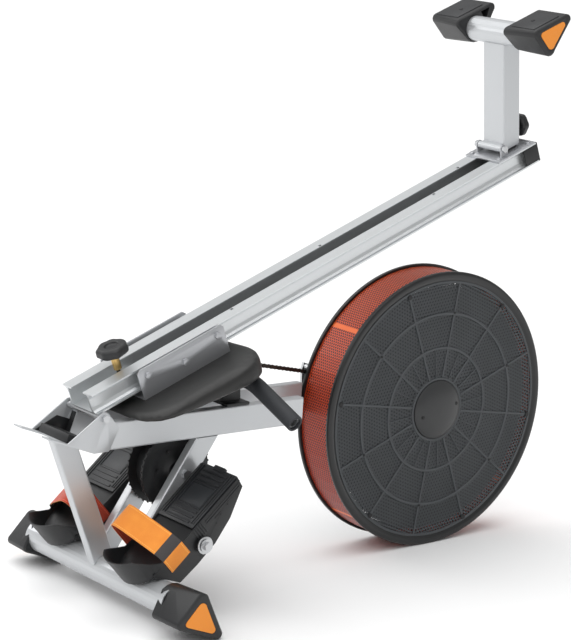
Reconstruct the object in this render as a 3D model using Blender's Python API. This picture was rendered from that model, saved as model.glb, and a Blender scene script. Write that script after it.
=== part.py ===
"""Folding air rowing machine, stored: rail folded over the beam, tipped forward onto its fan cage."""
import bmesh
import bpy
from math import asin, atan2, cos, hypot, pi, radians, sin, tan
from mathutils import Vector

# Side profiles are (u, v) in the working attitude: u towards the fan, v up, fan centre at (0, 0).
FAN_RADIUS = 0.280
CENTRE_X = 0.3235
GAP = 0.0003

# Foot of the base frame.
BASE_TUBE = (-0.631, -0.477)
BASE_TUBE_RADIUS = 0.030
BASE_HALF = 0.211
BASE_CAP_LENGTH = 0.073
SOCKET_DEPTH = 0.0150
TUBE_ENTRY = 0.0145
PAD_DROP = 0.038
CAP_REACH = 0.081
CAP_CORNER = 0.010
BASE_CAP_SHAPE = (-0.033, CAP_REACH, PAD_DROP, 0.012, 0.022)

# Beam: two parallel tubes rising to the fan.
BEAM_SLOPE = radians(20.2)
BEAM_DEPTH = 0.052
BEAM_WIDTH = 0.020
BEAM_INNER = 0.037
BEAM_TOP_POINT = (-0.7585, -0.2098)
BEAM_START_U = -0.779
NEAR_BEAM_END_U = -0.355
FAR_BEAM_END_U = -0.288
WALL = 0.002

# Fold hinge and its bracket.
HINGE = (-0.788, -0.2101)
FOLDED_ANGLE = radians(41.8)
BRACKET_INNER = 0.0575
PLATE = 0.003
BRACKET_FLOOR = -0.276
LIP_END_U = -0.887

# Rail, in its own frame: s along the rail from the hinge, p towards the rail's underside.
RAIL_START = -0.006
RAIL_END = 1.121
RAIL_HALF = 0.048
RAIL_TOP_P = 0.006
RAIL_UNDER_P = 0.047
RAIL_MID_P = (RAIL_TOP_P + RAIL_UNDER_P) / 2
GROOVE_HALF = 0.019

# Rear leg, in the rail's frame.
LEG_PIVOT = (1.046, 0.064)
LEG_LEAN = radians(74.5)
REAR_TUBE_RADIUS = 0.025
REAR_HALF = 0.066
REAR_CAP_LENGTH = 0.0855
LOCK_TAB_S = 1.0954
LEG_KNOB_RISE = 0.036
REAR_PAD_P = 0.313
REAR_DROP = 0.033
REAR_CAP_SHAPE = (-0.046, 0.062, REAR_DROP, -0.007, 0.015)

# Seat and carriage, in the rail's frame.
CARRIAGE_S = (0.089, 0.290)
CARRIAGE_PLATE_Y = 0.058
CARRIAGE_P = (-0.009, 0.050)
ROLLER_RADIUS = 0.010
ROLLER_S = (0.109, 0.191, 0.273)
ROLLER_P = (0.0335, 0.0195, 0.0335)

# Pedals: t towards the toe, n towards the foot, from the pedal axle.
PEDAL_AXLE = (-0.580, -0.368)
PEDAL_ANGLE = radians(62.0)
PEDAL_Y = (0.070, 0.185)
SOLE_N = 0.034

# Recoil reel between the struts, and the handle on its hooks.
REEL = (-0.567, -0.265)
REEL_RADIUS = 0.0755
REEL_CORE = 0.058
HANDLE = (-0.5141, -0.0635)
HANDLE_RADIUS = 0.011
GRIP_RADIUS = 0.016
SPROCKET_PITCH_RADIUS = 0.0285
CHAIN_RADIUS = 0.0035
LOWER_GUIDE = (-0.259, -0.0984)
UPPER_GUIDE = (-0.2724, -0.0043)
GUIDE_RADIUS = 0.005
SPROCKET_Y = 0.0545
ARM_Y = (0.0620, 0.0680)
CHAIN_BEND = (-0.4985, -0.0385)


def tip_forward():
    """Angle at which the foot caps' front corners and the fan cage both touch the floor."""
    corner_u = BASE_TUBE[0] + CAP_REACH - CAP_CORNER
    corner_v = BASE_TUBE[1] - PAD_DROP + CAP_CORNER
    reach = hypot(corner_u, corner_v)
    return atan2(-corner_v, -corner_u) - asin((FAN_RADIUS - CAP_CORNER) / reach)


def clear_scene():
    for obj in list(bpy.data.objects):
        bpy.data.objects.remove(obj, do_unlink=True)


def material(name, colour, roughness, metallic=0.0):
    mat = bpy.data.materials.new(name)
    mat.use_nodes = True
    shader = mat.node_tree.nodes["Principled BSDF"]
    shader.inputs["Base Color"].default_value = (*colour, 1.0)
    shader.inputs["Roughness"].default_value = roughness
    shader.inputs["Metallic"].default_value = metallic
    return mat


def pivot(name, place, angle, parent):
    """An empty at (u, v) whose local X points along angle in the side plane."""
    empty = bpy.data.objects.new(name, None)
    bpy.context.collection.objects.link(empty)
    empty.empty_display_size = 0.05
    empty.location = (place[0], 0.0, place[1])
    empty.rotation_euler = (0.0, -angle, 0.0)
    empty.parent = parent
    return empty


def add_object(name, loops, parent, finish=None, closed=False, place=(0, 0, 0), angle=0.0):
    """Skin matching loops of points; closed joins the last loop to the first, otherwise both are capped."""
    bm = bmesh.new()
    rings = [[bm.verts.new(point) for point in loop] for loop in loops]
    pairs = list(zip(rings, rings[1:]))
    if closed:
        pairs.append((rings[-1], rings[0]))
    for ring, following in pairs:
        count = len(ring)
        for i in range(count):
            j = (i + 1) % count
            bm.faces.new((ring[i], ring[j], following[j], following[i]))
    if not closed:
        bm.faces.new(rings[0])
        bm.faces.new(rings[-1])
    bmesh.ops.recalc_face_normals(bm, faces=bm.faces)
    mesh = bpy.data.meshes.new(name)
    bm.to_mesh(mesh)
    bm.free()
    mesh.shade_smooth()
    mesh.set_sharp_from_angle(angle=radians(38))
    obj = bpy.data.objects.new(name, mesh)
    bpy.context.collection.objects.link(obj)
    obj.location = place
    obj.rotation_euler = (0.0, -angle, 0.0)
    obj.parent = parent
    if finish is None:
        obj.hide_render = True
        obj.display_type = "WIRE"
    else:
        mesh.materials.append(finish)
    return obj


def boolean(target, tool, operation):
    modifier = target.modifiers.new(operation.lower(), "BOOLEAN")
    modifier.operation = operation
    modifier.object = tool


def bevel(target, width, segments=2, limit=38):
    modifier = target.modifiers.new("edges", "BEVEL")
    modifier.width = width
    modifier.segments = segments
    modifier.limit_method = "ANGLE"
    modifier.angle_limit = radians(limit)


def arc(centre, radius, start, end, steps):
    """Points on an arc, angles in degrees."""
    return [(centre[0] + radius * cos(radians(start + (end - start) * i / steps)),
             centre[1] + radius * sin(radians(start + (end - start) * i / steps))) for i in range(steps + 1)]


def rounded_box(half_a, half_b, radius, steps=3):
    points = []
    for start, sign_a, sign_b in ((0, 1, 1), (90, -1, 1), (180, -1, -1), (270, 1, -1)):
        centre = (sign_a * (half_a - radius), sign_b * (half_b - radius))
        points += arc(centre, radius, start, start + 90, steps)
    return points


def circle(radius, y, steps, start=0.0):
    return [(radius * cos(start + 2 * pi * i / steps), y, radius * sin(start + 2 * pi * i / steps))
            for i in range(steps)]


def lathe(name, profile, steps, parent, finish=None, closed=False, place=(0, 0)):
    """Turn (radius, y) points about the Y axis at a side-plane place."""
    loops = [circle(radius, y, steps) for radius, y in profile]
    return add_object(name, loops, parent, finish, closed, (place[0], 0, place[1]))


def prism(name, outline, y_low, y_high, parent, finish=None, place=(0, 0), angle=0.0):
    """Extrude a side-plane outline across Y."""
    loops = [[(a, y, b) for a, b in outline] for y in (y_low, y_high)]
    return add_object(name, loops, parent, finish, False, (place[0], 0, place[1]), angle)


def box(name, low, high, parent, finish=None, place=(0, 0), angle=0.0):
    outline = [(low[0], low[2]), (high[0], low[2]), (high[0], high[2]), (low[0], high[2])]
    return prism(name, outline, low[1], high[1], parent, finish, place, angle)


def pin(name, place, radius, y_low, y_high, parent, steps=24, finish=None):
    return lathe(name, [(radius, y_low), (radius, y_high)], steps, parent, finish, False, place)


def rect_tube(name, start, end, depth, width, y, parent, finish):
    """Hollow rectangular tube between two side-plane points."""
    length = hypot(end[0] - start[0], end[1] - start[1])
    angle = atan2(end[1] - start[1], end[0] - start[0])
    outer = rounded_box(width / 2, depth / 2, 0.003)
    inner = rounded_box(width / 2 - WALL, depth / 2 - WALL, 0.0015)
    loops = [[(x, a, b) for a, b in outline] for x, outline in
             ((0, outer), (length, outer), (length, inner), (0, inner))]
    return add_object(name, loops, parent, finish, True, (start[0], y, start[1]), angle)


def hex_bolt(name, place, radius, y_low, y_high, head, parent, finish, washer=0.0):
    """Round shank with a six-sided head, and a washer, at each end."""
    shank = pin(name, place, radius, y_low, y_high, parent, 20, finish)
    for side, y in (("low", y_low), ("high", y_high)):
        outward = -1 if side == "low" else 1
        nut = pin(f"{name}_{side}_head", place, head, y - outward * GAP, y + outward * 0.006, parent, 6)
        boolean(shank, nut, "UNION")
        if washer:
            ring = pin(f"{name}_{side}_washer", place, washer, y - outward * 0.0015, y, parent, 20)
            boolean(shank, ring, "UNION")
    return shank


def sweep(name, path, outer, inner, steps, parent, finish):
    """Hollow round tube along a path of 3-D points; the path lies in planes containing its first tangent."""
    loops = []
    tangents = []
    for i in range(len(path)):
        ahead = Vector(path[min(i + 1, len(path) - 1)]) - Vector(path[max(i - 1, 0)])
        tangents.append(ahead.normalized())
    side = tangents[0].orthogonal().normalized()
    rings = []
    for point, tangent in zip(path, tangents):
        side = (side - tangent * side.dot(tangent)).normalized()
        rings.append((Vector(point), side.copy(), tangent.cross(side)))
    for radius, order in ((outer, rings), (inner, rings[::-1])):
        for centre, across, up in order:
            loops.append([centre + radius * (across * cos(2 * pi * k / steps) + up * sin(2 * pi * k / steps))
                          for k in range(steps)])
    return add_object(name, loops, parent, finish, True)


def beam_top_v(u):
    return BEAM_TOP_POINT[1] + tan(BEAM_SLOPE) * (u - BEAM_TOP_POINT[0])


def beam_point(u, below):
    """Point a distance below the beam's top line, square to it."""
    return (u + below * sin(BEAM_SLOPE), beam_top_v(u) - below * cos(BEAM_SLOPE))


# ---------------------------------------------------------------- feet

def cap_outline(left, reach, apex, crown_radius, drop, corner=CAP_CORNER):
    """Rounded triangle of an end cap, measured from the foot tube's centre, flat pad at -drop."""
    points = arc(apex, crown_radius, 36, 150, 6)
    points += arc((left + corner, -drop + corner), corner, 168, 270, 4)
    points += arc((reach - corner, -drop + corner), corner, 270, 390, 5)
    return points


def end_cap(side, prefix, place, tube_radius, inner_y, length, shape, parent, flip, finish, insert_finish):
    """Moulded end cap: socket on the tube, hollow lobe, coloured insert. flip -1 turns the pad to +v."""
    outward = -1 if side == "near" else 1
    left, reach, drop, apex_lean, apex_rise = shape
    inner = cap_outline(left, reach, (0.0, 0.0), tube_radius + 0.004, drop)
    outer = cap_outline(left + 0.008, reach, (apex_lean, apex_rise), 0.015, drop)
    middle = [(0.55 * a[0] + 0.45 * b[0], 0.55 * a[1] + 0.45 * b[1]) for a, b in zip(inner, outer)]
    loops = [[(a, outward * length * share, flip * b) for a, b in outline]
             for share, outline in ((0.0, inner), (0.35, middle), (1.0, outer))]
    name = f"{side}_{prefix}_cap"
    cap = add_object(name, loops, parent, finish, False, (place[0], outward * inner_y, place[1]))
    bevel(cap, 0.003, 1, 50)
    ends = sorted((outward * (inner_y - 0.01), outward * (inner_y + SOCKET_DEPTH)))
    boolean(cap, pin(f"{name}_socket", place, tube_radius + GAP, *ends, parent, 28), "DIFFERENCE")
    lobe = [(reach - 0.040, 0.006 - drop), (reach - 0.016, 0.006 - drop), (reach - 0.034, 0.030 - drop)]
    hollow = prism(f"{name}_hollow", [(a, flip * b) for a, b in lobe], outward * (inner_y - 0.01),
                   outward * (inner_y + 0.6 * length), parent, None, place)
    boolean(cap, hollow, "DIFFERENCE")
    centre = (left + 0.47 * (reach - left), 0.026 - drop)
    face_y = outward * (inner_y + length)
    for label, scale, y_in, y_out in (("recess", 0.665, -0.0020, 0.004), ("insert", 0.65, -0.0016, 0.0004)):
        outline = [(centre[0] + scale * (a - centre[0]), flip * (centre[1] + scale * (b - centre[1])))
                   for a, b in outer]
        ends = (face_y + outward * y_in, face_y + outward * y_out)
        if label == "recess":
            boolean(cap, prism(f"{name}_recess", outline, *ends, parent, None, place), "DIFFERENCE")
        else:
            prism(f"{side}_{prefix}_insert", outline, *ends, parent, insert_finish, place)
    return cap


def foot_tube(name, place, radius, half, parent, finish):
    profile = [(radius, -half), (radius, half), (radius - WALL, half), (radius - WALL, -half)]
    return lathe(name, profile, 28, parent, finish, True, place)


# ---------------------------------------------------------------- base frame and beam

def base_frame(machine, silver, black):
    foot_tube("base_tube", BASE_TUBE, BASE_TUBE_RADIUS, BASE_HALF + TUBE_ENTRY, machine, silver)
    tube_clearance = BASE_TUBE_RADIUS + 0.0006

    leg_top = (-0.834, -0.256)
    leg = rect_tube("front_leg", leg_top, BASE_TUBE, 0.045, 0.020, 0.0, machine, silver)
    ceiling = box("front_leg_top_cut", (-0.90, -0.03, BRACKET_FLOOR - GAP), (-0.74, 0.03, -0.20), machine)
    boolean(leg, ceiling, "DIFFERENCE")
    saddle = pin("front_leg_saddle_cut", BASE_TUBE, tube_clearance, -0.03, 0.03, machine, 28)
    boolean(leg, saddle, "DIFFERENCE")

    lean = Vector((-0.234, -0.9722))
    middle_y = BEAM_INNER + BEAM_WIDTH / 2
    for side, y in (("near", -middle_y), ("far", middle_y)):
        top = Vector((-0.547, -0.19)) - lean * 0.06
        foot = Vector((-0.547, -0.19)) + lean * 0.285
        strut = rect_tube(f"{side}_strut", top, foot, 0.042, BEAM_WIDTH, y, machine, silver)
        low_y = y - 0.02
        high_y = y + 0.02
        above = box(f"{side}_strut_top_cut", (-0.1, low_y, -BEAM_DEPTH - GAP), (0.1, high_y, 0.05), machine,
                    None, (-0.55, beam_top_v(-0.55)), BEAM_SLOPE)
        boolean(strut, above, "DIFFERENCE")
        for label, place, radius in (("saddle", BASE_TUBE, tube_clearance),
                                     ("pedal_axle", PEDAL_AXLE, 0.0053),
                                     ("reel_axle", REEL, 0.0063)):
            cutter = pin(f"{side}_strut_{label}_cut", place, radius, low_y, high_y, machine, 20)
            boolean(strut, cutter, "DIFFERENCE")

        start = beam_point(BEAM_START_U - 0.03, BEAM_DEPTH / 2)
        end = beam_point(NEAR_BEAM_END_U if side == "near" else FAR_BEAM_END_U, BEAM_DEPTH / 2)
        beam = rect_tube(f"{side}_beam", start, end, BEAM_DEPTH, BEAM_WIDTH, y, machine, silver)
        trim = box(f"{side}_beam_start_cut", (-0.88, low_y, -0.35), (BEAM_START_U, high_y, -0.15), machine)
        boolean(beam, trim, "DIFFERENCE")

        plug_depth = BEAM_DEPTH / 2 - WALL - 0.0006
        half = BEAM_WIDTH / 2 - WALL - 0.0006
        plug_start = BEAM_START_U + 0.001
        corners = []
        for u, sign in ((plug_start, -1), (plug_start + 0.012, -1), (plug_start + 0.012, 1), (plug_start, 1)):
            middle = beam_top_v(u) - BEAM_DEPTH / 2 / cos(BEAM_SLOPE)
            corners.append((u, middle + sign * plug_depth / cos(BEAM_SLOPE)))
        prism(f"{side}_beam_plug", corners, y - half, y + half, machine, black)


def fold_bracket(machine, silver):
    """Folded steel bracket: two ears, a notched floor, and the block the unfolded rail rests on."""
    ear = [(-0.849, BRACKET_FLOOR), (-0.785, BRACKET_FLOOR), (-0.755, -0.2645), (-0.751, -0.2186)]
    ear += arc(HINGE, 0.0115, 60, 150, 4)
    width = BRACKET_INNER + PLATE
    floor = box("fold_bracket", (LIP_END_U, -width, BRACKET_FLOOR), (-0.7835, width, BRACKET_FLOOR + PLATE),
                machine, silver)
    block = box("fold_bracket_block", (-0.840, -0.045, BRACKET_FLOOR + 0.001),
                (-0.797, 0.045, -0.2577), machine)
    boolean(floor, block, "UNION")
    for side, low in (("near", -width), ("far", BRACKET_INNER)):
        boolean(floor, prism(f"fold_bracket_{side}_ear", ear, low, low + PLATE, machine), "UNION")
    notch = box("fold_bracket_notch", (-0.90, -0.033, -0.30), (-0.842, 0.033, -0.25), machine)
    boolean(floor, notch, "DIFFERENCE")
    bore = pin("fold_bracket_bore", HINGE, 0.0043, -0.08, 0.08, machine, 20)
    boolean(floor, bore, "DIFFERENCE")
    hex_bolt("hinge_bolt", HINGE, 0.0040, -width - GAP, width + GAP, 0.0075, machine, silver)


def handle_cradle(machine, black):
    """Moulded rest bridging both beam tubes, with two forks that hold the handle bar."""
    foot = (HANDLE[0], beam_top_v(HANDLE[0]))
    half = BEAM_INNER + BEAM_WIDTH
    plate = box("handle_cradle", (-0.012, -half, GAP), (0.040, half, GAP + 0.005), machine, black, foot,
                BEAM_SLOPE)
    fork = [(-0.008, 0.001), (0.036, 0.001), (0.033, 0.040), (0.040, 0.074), (0.002, 0.0640)]
    for side, y in (("near", -0.034), ("far", 0.027)):
        cheek = prism(f"handle_cradle_{side}_fork", fork, y, y + 0.007, machine, None, foot, BEAM_SLOPE)
        boolean(plate, cheek, "UNION")
    mouth_angle = FOLDED_ANGLE - radians(7)
    seat = pin("handle_cradle_seat", HANDLE, HANDLE_RADIUS + 0.0008, -0.05, 0.05, machine, 24)
    mouth_half = HANDLE_RADIUS + 0.0008
    mouth = box("handle_cradle_mouth", (0, -0.05, -mouth_half), (0.05, 0.05, mouth_half),
                machine, None, HANDLE, mouth_angle)
    boolean(plate, seat, "DIFFERENCE")
    boolean(plate, mouth, "DIFFERENCE")


def fan_arm(machine, silver):
    """Flat arm lapped on the far beam's outer face, carrying the fan axle and the chain's two guide posts."""
    heel = beam_point(FAR_BEAM_END_U - 0.045, BEAM_DEPTH / 2)
    toward = atan2(-heel[1], -heel[0])
    reach = hypot(*heel)
    inner, outer = ARM_Y
    outline = [(0.0, -0.020), (reach - 0.040, -0.020)] + arc((reach, 0), 0.018, -70, 70, 8)
    outline += [(reach - 0.040, 0.020), (0.0, 0.020)]
    arm = prism("fan_arm", outline, inner, outer, machine, silver, heel, toward)
    lap = [(0.001, -0.0195), (0.036, -0.0195), (0.036, 0.0195), (0.001, 0.0195)]
    beam_side = BEAM_INNER + BEAM_WIDTH + GAP
    spacer = prism("fan_arm_spacer", lap, beam_side, inner + 0.001, machine, None, heel, toward)
    boolean(arm, spacer, "UNION")
    upper = [(-0.262, -0.050), (-0.236, -0.045), (-0.266, 0.002), (-0.2785, 0.002), (-0.2785, -0.010)]
    lower = [(-0.280, -0.078), (-0.236, -0.068), (-0.249, -0.108), (-0.269, -0.108)]
    for label, finger, place in (("upper", upper, UPPER_GUIDE), ("lower", lower, LOWER_GUIDE)):
        tab = prism(f"fan_arm_{label}_finger", finger, inner + 0.0002, outer - 0.0002, machine)
        boolean(arm, tab, "UNION")
        post = pin(f"fan_arm_{label}_post", place, GUIDE_RADIUS, 0.0506, inner + 0.002, machine, 20)
        boolean(arm, post, "UNION")
    boolean(arm, pin("fan_arm_bore", (0, 0), 0.0063, 0.03, 0.09, machine, 24), "DIFFERENCE")


# ---------------------------------------------------------------- fan, cage and drive

def cage(machine, dark, black, orange):
    band_radius = 0.2755
    ring_inner = 0.2625
    sheet = 0.0015
    lathe("cage_band", [(band_radius, -0.0397), (band_radius, 0.0397), (band_radius - sheet, 0.0397),
                        (band_radius - sheet, -0.0397)], 60, machine, orange, True)
    for side, outward in (("near", -1), ("far", 1)):
        section = [(ring_inner, 0.0400), (FAN_RADIUS, 0.0400), (FAN_RADIUS, 0.0468), (0.2770, 0.0490),
                   (ring_inner, 0.0470)]
        lathe(f"{side}_cage_ring", [(r, outward * y) for r, y in section], 60, machine, black, True)
        cage_face(f"{side}_cage_face", outward, machine, dark)
        shell = [(0.0600, 0.0463), (0.0590, 0.0530), (0.0430, 0.0585), (0.0200, 0.0610)]
        lining = [(0.0200, 0.0592), (0.0425, 0.0566), (0.0560, 0.0520), (0.0578, 0.0463)]
        flat = [(0.0360, 0.0463), (0.0360, 0.0485), (0.0380, 0.0495), (0.0580, 0.0495), (0.0600, 0.0485),
                (0.0600, 0.0463)]
        cover = lining + shell if side == "near" else flat
        ring_section = side == "far"
        lathe(f"{side}_hub_cover", [(r, outward * y) for r, y in cover], 32, machine, black, ring_section)


def cage_face(name, outward, machine, finish):
    """Round side cover of the cage."""
    y_back = outward * 0.0430
    y_front = outward * 0.0460
    profile = [(0.010, y_back), (0.010, y_front), (0.262, y_front), (0.262, y_back)]
    return lathe(name, profile, 60, machine, finish, True)


def fan(hub, sprocket_hub, black, steel):
    wheel = lathe("fan_wheel", [(0.0063, -0.033), (0.250, -0.033), (0.250, -0.031), (0.016, -0.031),
                                (0.016, 0.008), (0.0063, 0.008)], 36, hub, black, True)
    for index in range(10):
        angle = 2 * pi * index / 10
        blade = box(f"fan_blade_{index}", (0.090, -0.032, -0.00075), (0.248, 0.003, 0.00075), hub, None,
                    (0, 0), angle)
        boolean(wheel, blade, "UNION")
    middle = SPROCKET_Y
    hub_low = middle - 0.0065
    hub_high = middle + 0.0060
    low_side = [(0.0063, hub_low), (0.0140, hub_low), (0.0140, middle - 0.0020), (0.0245, middle - 0.0012)]
    high_side = [(0.0245, middle + 0.0012), (0.0140, middle + 0.0020), (0.0140, hub_high), (0.0063, hub_high)]
    lathe("fan_sprocket", low_side + high_side, 32, sprocket_hub, steel, True)


def recoil_reel(hub, black):
    rim = REEL_RADIUS
    section = [(0.0063, -0.030), (0.0200, -0.030), (0.0300, -0.024), (rim, -0.024),
               (rim, -0.020), (REEL_CORE, -0.019), (REEL_CORE, 0.019), (rim, 0.020), (rim, 0.024),
               (0.0300, 0.024), (0.0200, 0.030), (0.0063, 0.030)]
    lathe("recoil_reel", section, 32, hub, black, True)


def drive_chain(machine, black):
    """Chain from the handle over the fan sprocket, back under the guide and onto the reel."""
    radius = SPROCKET_PITCH_RADIUS
    rise = atan2(CHAIN_BEND[1] - HANDLE[1], CHAIN_BEND[0] - HANDLE[0])
    hold = HANDLE_RADIUS + CHAIN_RADIUS + 0.0006
    shackle = (HANDLE[0] + hold * cos(rise), 0.0, HANDLE[1] + hold * sin(rise))
    first = [shackle, (CHAIN_BEND[0], 0.0, CHAIN_BEND[1])]
    around = GUIDE_RADIUS + 0.0005 + CHAIN_RADIUS
    over = [(a, SPROCKET_Y, b) for a, b in arc(UPPER_GUIDE, -around, 96, 99, 1)]
    knee = over[-1]
    climb = atan2(-knee[2], -knee[0]) + asin(radius / hypot(knee[0], knee[2]))
    wrap = [(a, SPROCKET_Y, b) for a, b in arc((0, 0), radius, 90 + climb * 180 / pi, -78, 11)]
    under = [(a, SPROCKET_Y, b) for a, b in arc(LOWER_GUIDE, around, 102, 110, 1)]
    wound = REEL_CORE + CHAIN_RADIUS + GAP
    reel = [(a, 0.0, b) for a, b in arc(REEL, wound, 110, 146, 3)]
    points = first + over + wrap + under + reel
    curve = bpy.data.curves.new("drive_chain", "CURVE")
    curve.dimensions = "3D"
    curve.bevel_depth = CHAIN_RADIUS
    curve.bevel_resolution = 2
    curve.use_fill_caps = True
    curve.materials.append(black)
    spline = curve.splines.new("POLY")
    spline.points.add(len(points) - 1)
    for knot, point in zip(spline.points, points):
        knot.co = (*point, 1.0)
    chain = bpy.data.objects.new("drive_chain", curve)
    bpy.context.collection.objects.link(chain)
    chain.parent = machine


def axles(machine, steel):
    outer = BEAM_INNER + BEAM_WIDTH + GAP
    pin("fan_axle", (0, 0), 0.006, -0.0540, ARM_Y[1] + 0.002, machine, 24, steel)
    hex_bolt("reel_axle", REEL, 0.006, -outer, outer, 0.0095, machine, steel)
    hex_bolt("pedal_axle", PEDAL_AXLE, 0.005, -0.1975, 0.1975, 0.0085, machine, steel, 0.013)


# ---------------------------------------------------------------- rail and rear leg

def rail_outline():
    """Closed extrusion section (y, p): wide top, concave side tracks, open groove along the underside."""
    wall = 0.003
    under = RAIL_UNDER_P
    top = RAIL_TOP_P
    track = [(0.0335 + 0.0075 * abs(t) ** 3, RAIL_MID_P + 0.0175 * t) for t in (1, 0.8, 0.5, -0.5, -0.8, -1)]
    outer = [(GROOVE_HALF, under), (RAIL_HALF, under), (RAIL_HALF, under - wall)] + track
    outer += [(RAIL_HALF, top + wall), (RAIL_HALF, top)]
    inner = [(GROOVE_HALF, under - wall), (0.031, under - wall), (0.0305, RAIL_MID_P), (0.031, top + wall)]
    left = [(-y, p) for y, p in outer[::-1]]
    inside_left = [(-y, p) for y, p in inner]
    return outer + left + inside_left + inner[::-1]


def rail_parts(rail, silver, black, steel):
    outline = rail_outline()
    loops = [[(s, y, p) for y, p in outline] for s in (RAIL_START, RAIL_END)]
    body = add_object("rail", loops, rail, silver, False)
    for index, (s, y) in enumerate(((0.34, -0.024), (0.60, 0.024), (0.86, -0.024), (0.97, 0.024))):
        hole = box(f"rail_hole_{index}", (s - 0.003, y - 0.003, 0.040), (s + 0.003, y + 0.003, 0.06), rail)
        boolean(body, hole, "DIFFERENCE")

    cap = box("rail_end_cap", (RAIL_END + GAP, -RAIL_HALF, RAIL_TOP_P), (RAIL_END + 0.004, RAIL_HALF,
                                                                         RAIL_UNDER_P), rail, black)
    bevel(cap, 0.001, 1)
    for side, low in (("near", -0.0475), ("far", 0.0425)):
        block = box(f"rail_end_cap_{side}", (RAIL_END - 0.034, low, 0.0105), (RAIL_END + 0.002, low + 0.005,
                                                                              0.0425), rail)
        boolean(cap, block, "UNION")

    leaf = box("rail_hinge_leaf", (0.0, -0.040, 0.0027), (0.060, 0.040, RAIL_TOP_P - GAP), rail, steel)
    boolean(leaf, pin("rail_hinge_leaf_barrel", (0, 0), 0.0057, -0.0560, 0.0560, rail, 24), "UNION")
    boolean(leaf, pin("rail_hinge_leaf_bore", (0, 0), 0.0043, -0.07, 0.07, rail, 20), "DIFFERENCE")

    plate_p = RAIL_UNDER_P + GAP
    plate = box("rear_hinge_plate", (1.017, -0.050, plate_p), (1.118, 0.050, plate_p + PLATE), rail, steel)
    lug = [(LEG_PIVOT[0] - 0.010, plate_p + 0.001), (LEG_PIVOT[0] + 0.010, plate_p + 0.001)]
    lug += arc(LEG_PIVOT, 0.0085, 0, 180, 6)
    for side, low in (("near", -0.0365), ("far", 0.0335)):
        boolean(plate, prism(f"rear_hinge_plate_{side}_lug", lug, low, low + PLATE, rail), "UNION")
    tab = box("rear_hinge_plate_tab", (0.0, -0.016, -PLATE), (0.049, 0.016, 0.0), rail, None, tab_foot(),
              LEG_LEAN)
    boolean(plate, tab, "UNION")
    for s, y in ((1.026, -0.040), (1.026, 0.040), (1.109, -0.040), (1.109, 0.040)):
        head = add_object(f"rear_plate_screw_{s:.3f}_{y:.2f}", [
            [(s + 0.0055 * cos(a * pi / 3), y + 0.0055 * sin(a * pi / 3), p) for a in range(6)]
            for p in (plate_p + 0.001, plate_p + PLATE + 0.0035)], rail)
        boolean(plate, head, "UNION")
    boolean(plate, pin("rear_hinge_plate_bore", LEG_PIVOT, 0.0043, -0.06, 0.06, rail, 20), "DIFFERENCE")
    ring = [(LEG_KNOB_RISE + 0.0045 * cos(a * pi / 10), 0.0045 * sin(a * pi / 10)) for a in range(20)]
    stud_loops = [[(x, y, z) for x, y in ring] for z in (-0.01, 0.01)]
    stud_hole = add_object("rear_hinge_plate_stud_hole", stud_loops,
                           rail, None, False, (tab_foot()[0], 0, tab_foot()[1]), LEG_LEAN)
    boolean(plate, stud_hole, "DIFFERENCE")
    hex_bolt("rear_hinge_bolt", LEG_PIVOT, 0.0040, -0.0365 - GAP, 0.0365 + GAP, 0.0070, rail, steel)


def tab_foot():
    """Where the lock tab's inner face meets the hinge plate, in the rail's frame."""
    return (LOCK_TAB_S, RAIL_UNDER_P + 0.0013)


def lobed_knob(name, radius, height, lobes, stem_radius, stem_length, boss, parent, finish, across):
    """Lobed hand knob with its screw. across maps (round_a, round_b, along) to the parent's frame."""
    steps = 36

    def ring(scale, along, wavy=1.0):
        points = []
        for k in range(steps):
            angle = 2 * pi * k / steps
            r = radius * scale * (1 + wavy * 0.045 * cos(lobes * angle))
            points.append(across(r * cos(angle), r * sin(angle), along))
        return points

    def plain(r, along):
        return [across(r * cos(2 * pi * k / steps), r * sin(2 * pi * k / steps), along) for k in range(steps)]

    loops = [plain(stem_radius, -stem_length), plain(stem_radius, -boss), plain(0.42 * radius, -boss),
             plain(0.42 * radius, 0.0), ring(0.80, 0.0), ring(1.0, 0.25 * height), ring(0.98, 0.75 * height),
             ring(0.80, height), plain(0.45 * radius, height), plain(0.38 * radius, 0.78 * height)]
    return add_object(name, loops, parent, finish)


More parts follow.
